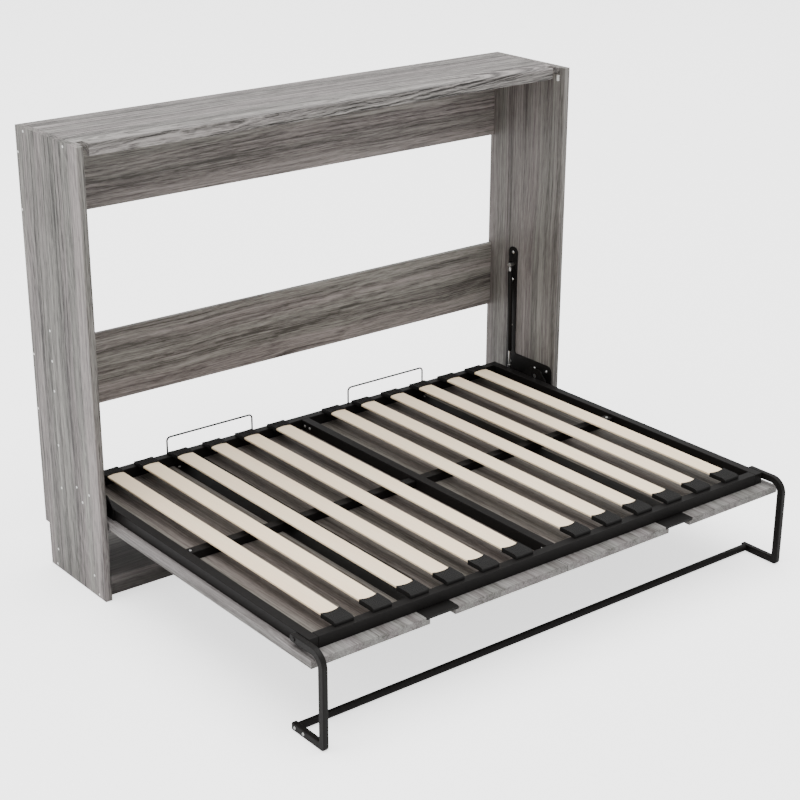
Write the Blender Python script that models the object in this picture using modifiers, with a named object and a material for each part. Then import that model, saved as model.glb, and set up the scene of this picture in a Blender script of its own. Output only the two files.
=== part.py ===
"""Horizontal wall bed: a shallow panel cabinet, and a bed frame that swings down out of its front.

Metres, +Z up. X runs along the cabinet's length, and +Y goes to the wall. The numbers below count Y from the
cabinet's front plane, and the whole object hangs on one empty that centres it on the floor under its bounds.
The bed stands open at rest, on its front foot frame. The bed hangs on two pivots at (PIVOT_Y, PIVOT_Z), the
foot frame swings on two bolts at (FOOT_PIVOT_Y, FOOT_PIVOT_Z) on the bed's side rails, and each gas strut
swings on a stud at (STRUT_Y, STRUT_Z) on its hinge plate.
"""

import math

import bmesh
import bpy
from mathutils import Matrix, Vector

GAP = 0.0003  # between pieces that touch

# Cabinet
HALF_LENGTH = 1.0225
DEPTH = 0.403
HEIGHT = 1.550
BOARD = 0.025
INSIDE = HALF_LENGTH - BOARD
FRONT_STOP_Y = 0.0268  # the closed face boards lie just in front of this
WALL_NOTCH = (0.025, 0.155)
TOP_SLOT_X, TOP_SLOT_BACK = (0.964, 0.989), 0.070  # the top's slots for the foot frame's arms
STOP_STRIP_Z = 1.510
RAIL_Y = (0.385, DEPTH)
UPPER_RAIL_Z = (1.2345, 1.5247)
MIDDLE_RAIL_Z = (0.543, 0.797)
SHELF_Z = (0.0605, 0.0855)
KICK_FRONT_Y = (0.034, 0.052)
KICK_REAR_Y = (0.327, 0.345)
PLATE_X = (INSIDE - GAP - 0.003, INSIDE - GAP)
PLATE_COLUMN_Y = (0.225, 0.275)
PLATE_Z = (0.2865, 0.376, 0.812)

# Bed, in its open position
PIVOT_Y, PIVOT_Z = 0.07325, 0.33025
PIN_RADIUS = 0.008
FACE_Z = (0.257, 0.2825)
FACE_Y = (-1.1465, 0.304)
FACE_X = ((0.0015, 0.459), (0.556, 0.9925))
RABBET = (0.015, 0.010)
RAIL_Z = (FACE_Z[1] + GAP, 0.322)
RAIL_WIDE = 0.033
FRAME_Y = (-1.099, 0.310)
FRAME_HALF = 0.965
MID_RAIL_Y = (-0.401, -0.366)
MID_RAIL_Z = (FACE_Z[1] + GAP, 0.312)
TUBE_WALL = 0.0016
SLATS_PER_SIDE = 6
SLAT_FIRST, SLAT_PITCH, SLAT_WIDE, SLAT_THICK = 0.1245, 0.1405, 0.064, 0.008
SLAT_Y = (-1.082, 0.298)
SLAT_RISE = 0.004
WIRE_CENTRE, WIRE_WIDE, WIRE_RADIUS, WIRE_Y, WIRE_TOP = 0.400, 0.361, 0.0032, 0.303, 0.3855

# Foot frame
LEG_X = (0.967, 0.986)
LEG_FRONT, LEG_BAR, LEG_BACK = -1.193, 0.025, -1.030
FOOT_PIVOT_Y, FOOT_PIVOT_Z = -1.050, 0.3095
FOOT_BOLT_RADIUS = 0.004
FOOT_BAR_Y, FOOT_BAR_RADIUS = -1.046, 0.0125

# Gas struts, measured along each strut from its upper stud
STRUT_X = 0.978
STRUT_Y, STRUT_Z = 0.248, 0.742
STRUT_FOOT = (0.236, 0.303)
STRUT_LENGTH = math.hypot(STRUT_Y - STRUT_FOOT[0], STRUT_Z - STRUT_FOOT[1])
STRUT_TILT = math.atan2(STRUT_Y - STRUT_FOOT[0], STRUT_Z - STRUT_FOOT[1])
EYE_HALF, EYE_RADIUS, STUD_RADIUS = 0.0062, 0.0085, 0.004
CYLINDER_RADIUS, BORE_RADIUS, ROD_RADIUS = 0.009, 0.0055, 0.005
CYLINDER_SPAN = (0.022, 0.355)
ROD_TOP = 0.100

SIDES = (("left", -1), ("right", 1))


def clear_scene():
    for thing in list(bpy.data.objects):
        bpy.data.objects.remove(thing, do_unlink=True)
    parts = bpy.data.collections.new("wall_bed")
    cutters = bpy.data.collections.new("cutters")
    for group in (parts, cutters):
        bpy.context.scene.collection.children.link(group)
    return parts, cutters


PARTS, CUTTERS = clear_scene()


def material(name, colour, roughness, metallic=0.0):
    made = bpy.data.materials.new(name)
    made.use_nodes = True
    shader = made.node_tree.nodes["Principled BSDF"]
    shader.inputs["Base Color"].default_value = (*colour, 1.0)
    shader.inputs["Roughness"].default_value = roughness
    shader.inputs["Metallic"].default_value = metallic
    made.diffuse_color = (*colour, 1.0)
    return made


LAMINATE = material("oak_laminate", (0.26, 0.215, 0.18), 0.55)
SHELF_DARK = material("dark_board", (0.09, 0.085, 0.08), 0.6)
FACE_BOARD = material("face_board", (0.30, 0.28, 0.26), 0.6)
BLACK_METAL = material("black_metal", (0.025, 0.024, 0.023), 0.4, 0.6)
BLACK_BOARD = material("black_plank", (0.03, 0.029, 0.028), 0.45)
BIRCH = material("birch_slat", (0.66, 0.52, 0.41), 0.5)
STEEL = material("bright_steel", (0.7, 0.7, 0.7), 0.3, 1.0)
WHITE = material("white_plastic", (0.8, 0.8, 0.78), 0.5)


def pivot(name, where, tilt=0.0, parent=None):
    empty = bpy.data.objects.new(name, None)
    empty.location = where
    empty.rotation_euler = (tilt, 0.0, 0.0)
    empty.parent = parent
    PARTS.objects.link(empty)
    return empty


BASE = pivot("base", (0.0, -(LEG_FRONT + DEPTH) / 2, 0.0))


def add(name, bm, where, mat, parent=None, bevel=0.0):
    """An object from a mesh drawn about `where`, which is in world axes unless the parent is tilted."""
    bmesh.ops.recalc_face_normals(bm, faces=bm.faces)
    mesh = bpy.data.meshes.new(name)
    bm.to_mesh(mesh)
    bm.free()
    thing = bpy.data.objects.new(name, mesh)
    thing.data.materials.append(mat)
    thing.location = where
    thing.parent = parent or BASE
    if parent and parent.rotation_euler.x == 0.0:
        thing.location -= parent.location
    if bevel:
        edge = thing.modifiers.new("edges", "BEVEL")
        edge.width = bevel
        edge.segments = 1
        edge.limit_method = "ANGLE"
    PARTS.objects.link(thing)
    return thing


def box(name, x, y, z, mat, parent=None, bevel=0.0008):
    spans = [Vector(sorted(span)) for span in (x, y, z)]
    bm = bmesh.new()
    bmesh.ops.create_cube(bm, size=1.0)
    bmesh.ops.scale(bm, vec=[span[1] - span[0] for span in spans], verts=bm.verts)
    return add(name, bm, [sum(span) / 2 for span in spans], mat, parent, bevel)


def rounded(corners, steps=5):
    """A closed outline from (a, b, radius) corners, each radius drawn as a fillet."""
    outline = []
    for i, (a, b, radius) in enumerate(corners):
        here = Vector((a, b))
        if not radius:
            outline.append(here)
            continue
        before = (Vector(corners[i - 1][:2]) - here).normalized()
        after = (Vector(corners[(i + 1) % len(corners)][:2]) - here).normalized()
        half = before.angle(after) / 2
        centre = here + (before + after).normalized() * radius / math.sin(half)
        start = here + before * radius / math.tan(half) - centre
        end = here + after * radius / math.tan(half) - centre
        for k in range(steps + 1):
            t = k / steps
            turn = math.pi - 2 * half
            point = (start * math.sin((1 - t) * turn) + end * math.sin(t * turn)) / math.sin(turn)
            outline.append(centre + point)
    return outline


def prism(name, outline, axis, span, mat, parent=None, bevel=0.0008):
    """An outline in the two other axes, run along `axis` over `span`."""
    low, high = sorted(span)
    a_mid = (min(p[0] for p in outline) + max(p[0] for p in outline)) / 2
    b_mid = (min(p[1] for p in outline) + max(p[1] for p in outline)) / 2
    order = {"X": (2, 0, 1), "Y": (0, 2, 1), "Z": (0, 1, 2)}[axis]

    def place(a, b, c):
        values = (a, b, c)
        return Vector(values[k] for k in order)

    bm = bmesh.new()
    rings = [
        [bm.verts.new(place(p[0] - a_mid, p[1] - b_mid, c)) for p in outline]
        for c in ((low - high) / 2, (high - low) / 2)
    ]
    bm.faces.new(rings[0])
    bm.faces.new(rings[1])
    for i in range(len(outline)):
        j = (i + 1) % len(outline)
        bm.faces.new((rings[0][i], rings[0][j], rings[1][j], rings[1][i]))
    return add(name, bm, place(a_mid, b_mid, (low + high) / 2), mat, parent, bevel)


def round_bar(name, radius, x, y, z, mat, parent=None, segments=24):
    """A round bar along X."""
    bm = bmesh.new()
    turned = Matrix.Rotation(math.pi / 2, 4, "Y")
    bmesh.ops.create_cone(
        bm, cap_ends=True, segments=segments, radius1=radius, radius2=radius, depth=abs(x[1] - x[0]),
        matrix=turned,
    )
    return add(name, bm, (sum(x) / 2, y, z), mat, parent)


def cut(thing, cutter, operation="DIFFERENCE"):
    for group in list(cutter.users_collection):
        group.objects.unlink(cutter)
    CUTTERS.objects.link(cutter)
    cutter.hide_render = True
    cutter.display_type = "WIRE"
    mod = thing.modifiers.new(operation.lower(), "BOOLEAN")
    mod.operation = operation
    mod.solver = "EXACT"
    mod.object = cutter


def tube(name, outline_span, axis, mat, parent, closed=False):
    """A square steel tube given as its three outer spans, open at both ends or closed at the lower one."""
    bar = box(name, *outline_span, mat, parent, 0.0012)
    start = -TUBE_WALL if closed else 0.01
    inner = [
        (lo - start, hi + 0.01) if k == axis else (lo + TUBE_WALL, hi - TUBE_WALL)
        for k, (lo, hi) in enumerate(sorted(span) for span in outline_span)
    ]
    cut(bar, box(name + "_bore", *inner, mat, parent, 0.0))
    return bar


def spun(name, profile, mat, parent):
    """A (radius, height) profile turned about the parent's own Z, at the strut's place."""
    bm = bmesh.new()
    points = [bm.verts.new((radius, 0.0, height)) for radius, height in profile]
    for a, b in zip(points, points[1:]):
        bm.edges.new((a, b))
    mesh = bpy.data.meshes.new(name)
    bm.to_mesh(mesh)
    bm.free()
    thing = bpy.data.objects.new(name, mesh)
    thing.data.materials.append(mat)
    thing.parent = parent
    turn = thing.modifiers.new("turn", "SCREW")
    turn.axis = "Z"
    turn.steps = turn.render_steps = 24
    turn.use_merge_vertices = True
    turn.merge_threshold = 1e-5
    turn.use_normal_calculate = True
    PARTS.objects.link(thing)
    return thing


def eye(thing, height, hole):
    """Joins a cross-bored eye to a turned piece, `height` along it."""
    x = (-EYE_HALF, EYE_HALF)
    cut(thing, round_bar(thing.name + "_eye", EYE_RADIUS, x, 0.0, height, STEEL, thing.parent), "UNION")
    if hole:
        x = (-0.02, 0.02)
        cut(thing, round_bar(thing.name + "_hole", hole, x, 0.0, height, STEEL, thing.parent))


# Cabinet


def side_panel(label, side):
    back, up = WALL_NOTCH
    outline = [
        (0, 0), (DEPTH - back, 0), (DEPTH - back, up), (DEPTH, up), (DEPTH, HEIGHT), (0, HEIGHT),
    ]
    prism(f"{label}_side_panel", outline, "X", (side * INSIDE, side * HALF_LENGTH), LAMINATE)


def top_panel():
    half, (inner, outer) = INSIDE - GAP, TOP_SLOT_X
    right = [
        (inner, FRONT_STOP_Y), (inner, TOP_SLOT_BACK), (outer, TOP_SLOT_BACK), (outer, FRONT_STOP_Y),
        (half, FRONT_STOP_Y), (half, DEPTH),
    ]
    outline = right + [(-x, y) for x, y in reversed(right)]
    prism("top_panel", outline, "Z", (HEIGHT - BOARD, HEIGHT), LAMINATE)
    inner -= GAP
    z = (STOP_STRIP_Z, HEIGHT - BOARD - GAP)
    box("top_front_strip", (-inner, inner), (FRONT_STOP_Y, FRONT_STOP_Y + 0.018), z, LAMINATE)


def cross_boards():
    x = (GAP - INSIDE, INSIDE - GAP)
    box("upper_back_rail", x, RAIL_Y, UPPER_RAIL_Z, LAMINATE)
    box("middle_back_rail", x, RAIL_Y, MIDDLE_RAIL_Z, LAMINATE)
    box("bottom_shelf", x, (0.001, DEPTH - WALL_NOTCH[0]), SHELF_Z, SHELF_DARK)
    box("front_kick_board", x, KICK_FRONT_Y, (0.0, SHELF_Z[0] - GAP), LAMINATE)
    box("rear_kick_board", x, KICK_REAR_Y, (0.0, SHELF_Z[0] - GAP), LAMINATE)


def stop_corner(label, side):
    """The small white angle that the closed face boards stop against, outside the top's slot."""
    inner, outer, thick = TOP_SLOT_X[1], INSIDE - GAP, 0.003
    y, z = (FRONT_STOP_Y, FRONT_STOP_Y + 0.012), (1.500, 1.522)
    outline = [
        (side * inner, y[0]), (side * outer, y[0]), (side * outer, y[1]),
        (side * (outer - thick), y[1]), (side * (outer - thick), y[0] + thick), (side * inner, y[0] + thick),
    ]
    prism(f"{label}_stop_corner", outline, "Z", z, WHITE, bevel=0.0)


def hinge_plate(label, side):
    (front, back), (low, foot, top) = PLATE_COLUMN_Y, PLATE_Z
    outline = rounded([
        (0.010, low, 0.004), (back, low, 0.006), (back, top, 0.022), (front, top, 0.022),
        (front, foot, 0.008), (0.010, foot, 0.024),
    ])
    prism(f"{label}_hinge_plate", outline, "X", [side * x for x in PLATE_X], BLACK_METAL, bevel=0.0004)
    inner = PLATE_X[0] - GAP
    x = (side * (FRAME_HALF + 0.0006), side * inner)
    pin = round_bar(f"{label}_pivot_pin", PIN_RADIUS, x, PIVOT_Y, PIVOT_Z, STEEL, segments=32)
    collar = (side * 0.9705, side * inner)
    cut(pin, round_bar(f"{label}_pin_collar", 0.0125, collar, PIVOT_Y, PIVOT_Z, STEEL), "UNION")
    x = (side * (STRUT_X - EYE_HALF - 0.001), side * inner)
    stud = round_bar(f"{label}_strut_top_stud", STUD_RADIUS, x, STRUT_Y, STRUT_Z, STEEL)
    collar = (side * (STRUT_X + EYE_HALF + GAP), side * inner)
    cut(stud, round_bar(f"{label}_stud_collar", 0.0075, collar, STRUT_Y, STRUT_Z, STEEL), "UNION")


# Gas struts


def gas_strut(label, side):
    hang = pivot(f"{label}_strut_axis", (side * STRUT_X, STRUT_Y, STRUT_Z), -STRUT_TILT, BASE)
    top, bottom = (-s for s in CYLINDER_SPAN)
    bore_top = -ROD_TOP + 0.010
    profile = [
        (0.0, top + 0.018), (0.0045, top + 0.018), (0.0045, top), (CYLINDER_RADIUS - 0.001, top),
        (CYLINDER_RADIUS, top - 0.001), (CYLINDER_RADIUS, bottom + 0.001),
        (CYLINDER_RADIUS - 0.001, bottom), (BORE_RADIUS, bottom), (BORE_RADIUS, bore_top), (0.0, bore_top),
    ]
    eye(spun(f"{label}_strut_cylinder", profile, BLACK_METAL, hang), 0.0, STUD_RADIUS + GAP)
    foot = -STRUT_LENGTH
    profile = [(0.0, -ROD_TOP), (ROD_RADIUS, -ROD_TOP), (ROD_RADIUS, foot), (0.0, foot)]
    eye(spun(f"{label}_strut_rod", profile, STEEL, hang), foot, STUD_RADIUS + GAP)


# Bed


def bed_frame(bed):
    x_end = FRAME_HALF - RAIL_WIDE - GAP
    for label, side in SIDES:
        x = (side * (FRAME_HALF - RAIL_WIDE), side * FRAME_HALF)
        tube(f"{label}_bed_rail", (x, FRAME_Y, RAIL_Z), 1, BLACK_METAL, bed, closed=True)
    y = (FRAME_Y[0], FRAME_Y[0] + RAIL_WIDE)
    tube("front_bed_rail", ((-x_end, x_end), y, RAIL_Z), 0, BLACK_METAL, bed)
    y = (FRAME_Y[1] - RAIL_WIDE, FRAME_Y[1])
    tube("back_bed_rail", ((-x_end, x_end), y, RAIL_Z), 0, BLACK_METAL, bed)
    half = RAIL_WIDE / 2
    y = (FRAME_Y[0] + RAIL_WIDE + GAP, FRAME_Y[1] - RAIL_WIDE - GAP)
    tube("centre_bed_beam", ((-half, half), y, RAIL_Z), 1, BLACK_METAL, bed)
    for label, side in SIDES:
        x = (side * (half + GAP), side * x_end)
        tube(f"{label}_mid_rail", (x, MID_RAIL_Y, MID_RAIL_Z), 0, BLACK_METAL, bed)


def face_boards(bed):
    """Four boards close the cabinet's front. Those beside the two gaps are rabbeted for the planks."""
    (in_0, in_1), (out_0, out_1) = FACE_X
    wide, deep = RABBET
    low, top = FACE_Z
    inner = [(in_0, low), (in_1, low), (in_1, top - deep), (in_1 - wide, top - deep), (in_1 - wide, top), (in_0, top)]
    outer = [(out_1, low), (out_0, low), (out_0, top - deep), (out_0 + wide, top - deep), (out_0 + wide, top),
             (out_1, top)]
    for label, side in SIDES:
        for place, outline in (("inner", inner), ("outer", outer)):
            mirrored = [(side * x, z) for x, z in outline]
            prism(f"{label}_{place}_face_board", mirrored, "Y", FACE_Y, FACE_BOARD, bed)
        x = (in_1 - wide + GAP, out_0 + wide - GAP)
        y, corner = (FACE_Y[0] + 0.001, 0.300), 0.007
        plan = rounded([(x[0], y[0], corner), (x[1], y[0], corner), (x[1], y[1], 0.0), (x[0], y[1], 0.0)])
        z = (top - deep + GAP, top)
        prism(f"{label}_joining_plank", [(side * a, b) for a, b in plan], "Z", z, BLACK_BOARD, bed, 0.0015)


def slats(bed):
    """Bowed birch slats, each resting on the front and back rails."""
    low = RAIL_Z[1] + GAP
    steps = 12
    (start, end), rise = SLAT_Y, SLAT_RISE
    arc = [(start + (end - start) * k / steps, low + rise * math.sin(math.pi * k / steps)) for k in range(steps + 1)]
    outline = arc + [(y, z + SLAT_THICK) for y, z in reversed(arc)]
    for label, side in SIDES:
        for k in range(SLATS_PER_SIDE):
            x = side * (SLAT_FIRST + SLAT_PITCH * k)
            prism(f"{label}_slat_{k + 1}", outline, "X", (x - SLAT_WIDE / 2, x + SLAT_WIDE / 2), BIRCH, bed, 0.0)


def bed_bracket(label, side, bed):
    """Carries the bed on the pivot pin, on the side rail's outer face."""
    outline = rounded([
        (0.010, RAIL_Z[0], 0.0), (0.140, RAIL_Z[0], 0.0), (0.140, 0.325, 0.010), (0.100, 0.360, 0.018),
        (0.046, 0.360, 0.018), (0.010, 0.325, 0.010),
    ])
    x = (side * (FRAME_HALF + 0.0005), side * (FRAME_HALF + 0.0035))
    plate = prism(f"{label}_bed_bracket", outline, "X", x, BLACK_METAL, bed, 0.0)
    hole = (side * 0.95, side * 0.98)
    cut(plate, round_bar(f"{label}_bracket_hole", PIN_RADIUS + GAP, hole, PIVOT_Y, PIVOT_Z, STEEL, bed, 32))
    x = (side * (FRAME_HALF + GAP), side * (FRAME_HALF + 0.0053))
    round_bar(f"{label}_strut_foot_stud", 0.008, x, *STRUT_FOOT, STEEL, bed)


def foot_frame(bed):
    """Two bent legs and the bar between them, on a bolt through each leg's upper arm into the side rail."""
    foot = pivot("foot_hinge_axis", (0.0, FOOT_PIVOT_Y, FOOT_PIVOT_Z), parent=BASE)
    low, high = 0.0, RAIL_Z[1]
    front, bar = LEG_FRONT, LEG_BAR
    outline = rounded([
        (LEG_BACK, low, 0.0), (front, low, 0.015), (front, high, 0.055), (LEG_BACK, high, 0.010),
        (LEG_BACK, high - bar, 0.010), (front + bar, high - bar, 0.030), (front + bar, low + bar, 0.003),
        (LEG_BACK, low + bar, 0.0),
    ], 8)
    where = (FOOT_PIVOT_Y, FOOT_PIVOT_Z)
    for label, side in SIDES:
        leg = prism(f"{label}_foot_leg", outline, "X", [side * x for x in LEG_X], BLACK_METAL, foot, 0.0015)
        hole = (side * (LEG_X[0] - 0.01), side * (LEG_X[1] + 0.01))
        cut(leg, round_bar(f"{label}_foot_bolt_hole", FOOT_BOLT_RADIUS + GAP, hole, *where, STEEL, foot))
        x = (side * (FRAME_HALF + GAP), side * (LEG_X[1] + 0.0025))
        bolt = round_bar(f"{label}_foot_pivot_bolt", FOOT_BOLT_RADIUS, x, *where, BLACK_METAL, bed)
        head = (side * (LEG_X[1] + GAP), side * (LEG_X[1] + 0.0025))
        cut(bolt, round_bar(f"{label}_foot_bolt_head", 0.0075, head, *where, BLACK_METAL, bed), "UNION")
    half = LEG_X[0] - GAP
    round_bar("foot_cross_bar", FOOT_BAR_RADIUS, (-half, half), FOOT_BAR_Y, 0.0125, BLACK_METAL, foot, 32)


def mattress_wire(label, side, bed):
    """A bent wire hoop on the back rail, which keeps the mattress from sliding back."""
    half, low, top = WIRE_WIDE / 2, RAIL_Z[1] + GAP, WIRE_TOP
    path = rounded([(-half, low, 0.0), (-half, top, 0.014), (half, top, 0.014), (half, low, 0.0)], 6)
    curve = bpy.data.curves.new(f"{label}_mattress_wire", "CURVE")
    curve.dimensions = "3D"
    curve.bevel_depth = WIRE_RADIUS
    curve.bevel_resolution = 2
    curve.use_fill_caps = True
    line = curve.splines.new("POLY")
    line.points.add(len(path) - 1)
    for point, (x, z) in zip(line.points, path):
        point.co = (x, 0.0, z - low, 1.0)
    curve.materials.append(BLACK_METAL)
    wire = bpy.data.objects.new(f"{label}_mattress_wire", curve)
    wire.parent = bed
    wire.location = Vector((side * WIRE_CENTRE, WIRE_Y, low)) - bed.location
    PARTS.objects.link(wire)


def main():
    bed = pivot("bed_hinge_axis", (0.0, PIVOT_Y, PIVOT_Z), parent=BASE)
    top_panel()
    cross_boards()
    for label, side in SIDES:
        side_panel(label, side)
        stop_corner(label, side)
        hinge_plate(label, side)
        gas_strut(label, side)
        bed_bracket(label, side, bed)
        mattress_wire(label, side, bed)
    bed_frame(bed)
    face_boards(bed)
    slats(bed)
    foot_frame(bed)


main()
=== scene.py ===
"""Horizontal wall bed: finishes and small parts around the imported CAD.

The small parts are the slats and their holders, screws, gas struts and the foot frame.
"""

import math

import bmesh
import bpy
from bpy.props import FloatProperty, FloatVectorProperty, IntProperty, PointerProperty
from mathutils import Matrix, Vector


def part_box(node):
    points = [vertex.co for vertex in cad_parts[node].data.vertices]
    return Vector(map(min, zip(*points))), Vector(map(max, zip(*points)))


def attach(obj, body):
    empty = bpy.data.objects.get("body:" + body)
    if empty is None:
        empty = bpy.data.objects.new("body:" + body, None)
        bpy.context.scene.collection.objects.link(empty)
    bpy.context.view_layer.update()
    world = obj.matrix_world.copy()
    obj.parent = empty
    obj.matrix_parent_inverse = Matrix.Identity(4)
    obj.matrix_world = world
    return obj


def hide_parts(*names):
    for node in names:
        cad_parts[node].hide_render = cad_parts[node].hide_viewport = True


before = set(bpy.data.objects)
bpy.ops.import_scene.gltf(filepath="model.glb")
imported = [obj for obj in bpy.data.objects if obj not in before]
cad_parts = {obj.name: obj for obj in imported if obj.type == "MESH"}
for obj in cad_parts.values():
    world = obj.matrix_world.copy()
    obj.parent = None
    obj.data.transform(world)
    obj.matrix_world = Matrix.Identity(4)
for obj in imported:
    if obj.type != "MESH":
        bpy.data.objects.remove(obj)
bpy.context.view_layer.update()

bl_info = {
    "name": "Wall bed",
    "version": (1, 0, 0),
    "blender": (4, 5, 0),
    "location": "View3D > Sidebar > Wall bed",
    "description": "Builds the finishes and small parts of a horizontal wall bed",
    "category": "Object",
}

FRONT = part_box("left_side_panel")[0].y  # the cabinet's front plane
SIDES = (("left", -1), ("right", 1))
WHITE = (1.0, 1.0, 1.0, 1.0)

# ---------------------------------------------------------------- settings


def colour_prop(name, description, default):
    return FloatVectorProperty(
        name=name, description=description, default=default,
        size=3, min=0.0, max=1.0, subtype="COLOR",
    )


def length_prop(name, description, default):
    return FloatProperty(
        name=name, description=description, default=default, unit="LENGTH", precision=5
    )


class WallBedBoards(bpy.types.PropertyGroup):
    """Colours and grain of the laminated boards."""

    light: colour_prop("Light grain", "The grain's light lines", (0.240, 0.2255, 0.2205))
    dark: colour_prop("Dark grain", "The grain's dark lines", (0.058, 0.0520, 0.0495))
    warm: colour_prop("Warm band", "Tint of the broad mauve bands", (1.0, 0.945, 0.935))
    cool: colour_prop("Cool band", "Tint of the broad olive bands", (0.92, 0.95, 0.885))
    edge: colour_prop("Face board", "Light lines of the face boards", (0.232, 0.2250, 0.2225))
    # Painted shade: this tint darkens the face boards' upper faces within the steel frame.
    inner: colour_prop("Face board inside", "Tint within the steel frame", (0.80, 0.75, 0.70))
    bump: length_prop("Pore depth", "Depth of the laminate's pores", 0.00025)


class WallBedHardware(bpy.types.PropertyGroup):
    """Metal, plastic and screws."""

    black: colour_prop("Frame coat", "Powder coat of the frame", (0.0066, 0.0060, 0.0057))
    plank: colour_prop("Plank", "Laminate of the joining planks", (0.0038, 0.0034, 0.0031))
    rubber: colour_prop("Holder", "Plastic of the slat holders", (0.0056, 0.0053, 0.0050))
    zinc: colour_prop("Zinc", "Plated screws, pins and rods", (0.50, 0.50, 0.49))
    cap: colour_prop("Cap", "White caps and stop corners", (0.68, 0.68, 0.66))
    cap_radius: length_prop("Screw cap radius", "Radius of a cabinet screw head", 0.0045)
    plate_bolt_radius: length_prop("Plate bolt radius", "Bolts in the hinge plates", 0.0062)
    bolt_radius: length_prop("Bolt radius", "Bolts in the frame and the feet", 0.0068 * 0.8)


class WallBedSlats(bpy.types.PropertyGroup):
    """Slats and their holders."""

    light: colour_prop("Birch light", "Light grain of the slats", (0.99, 0.828, 0.590))
    dark: colour_prop("Birch dark", "Dark grain of the slats", (0.95, 0.770, 0.535))
    pink: colour_prop("Birch pink", "Tint of the pinkish slats", (1.0, 0.95, 0.92))
    count: IntProperty(name="Slats per side", description="Slats left and right", default=6)
    thick: length_prop("Slat thickness", "Thickness of a slat", 0.008)
    rise: length_prop("Bow", "How far a slat bows upwards", 0.001)
    lift: length_prop("Lift", "How far the holders raise a slat", 0.0035)
    hidden_front: length_prop("Hidden in front", "Slat end inside its front cap", 0.020)
    hidden_back: length_prop("Hidden at back", "Slat end inside its back cap", 0.051)
    holder_wide: length_prop("Holder width", "Width of a slat holder", 0.069)


class WallBedStage(bpy.types.PropertyGroup):
    """Floor, lights and camera."""

    floor: colour_prop("Floor", "Colour of the floor", (0.95, 0.95, 0.95))
    glow: FloatProperty(name="Floor glow", description="Brightens the seen floor", default=1.5)
    sky: FloatProperty(name="Ambient", description="The even studio light", default=0.88)
    key: FloatProperty(name="Key", description="Light on the left", default=96.0, unit="POWER")
    top: FloatProperty(name="Top", description="Wide light above", default=9000.0, unit="POWER")


# ---------------------------------------------------------------- shader groups


EFFECT_OUTPUTS = (
    ("Color", "NodeSocketColor"), ("Height", "NodeSocketFloat"), ("Roughness", "NodeSocketFloat")
)


def new_group(name, inputs):
    group = bpy.data.node_groups.new(name, "ShaderNodeTree")
    for label, kind, default in inputs:
        socket = group.interface.new_socket(name=label, in_out="INPUT", socket_type=kind)
        if default is not None:
            socket.default_value = default
    for label, kind in EFFECT_OUTPUTS:
        group.interface.new_socket(name=label, in_out="OUTPUT", socket_type=kind)
    return group, group.nodes.new("NodeGroupInput"), group.nodes.new("NodeGroupOutput")


class Nodes:
    """Short ways to add shader nodes to one tree."""

    def __init__(self, tree):
        self.tree = tree

    def add(self, kind, inputs=None, **settings):
        node = self.tree.nodes.new(kind)
        for key, value in settings.items():
            setattr(node, key, value)
        for key, value in (inputs or {}).items():
            if isinstance(value, bpy.types.NodeSocket):
                self.tree.links.new(value, node.inputs[key])
            else:
                node.inputs[key].default_value = value
        return node

    def math(self, operation, a, b=0.0):
        return self.add("ShaderNodeMath", {0: a, 1: b}, operation=operation).outputs[0]

    def vector(self, operation, a, b):
        return self.add("ShaderNodeVectorMath", {0: a, 1: b}, operation=operation).outputs[0]

    def noise(self, vector, scale, detail, roughness=0.5):
        inputs = {"Vector": vector, "Scale": scale, "Detail": detail, "Roughness": roughness}
        return self.add("ShaderNodeTexNoise", inputs).outputs["Fac"]

    def ramp(self, value, low, high):
        return self.add(
            "ShaderNodeMapRange", {"Value": value, "From Min": low, "From Max": high},
            clamp=True, interpolation_type="SMOOTHSTEP",
        ).outputs[0]

    def mix(self, factor, a, b, blend="MIX"):
        node = self.tree.nodes.new("ShaderNodeMix")
        node.data_type = "RGBA"
        node.blend_type = blend
        for index, value in ((0, factor), (6, a), (7, b)):
            if isinstance(value, bpy.types.NodeSocket):
                self.tree.links.new(value, node.inputs[index])
            else:
                node.inputs[index].default_value = value
        return node.outputs[2]


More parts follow.
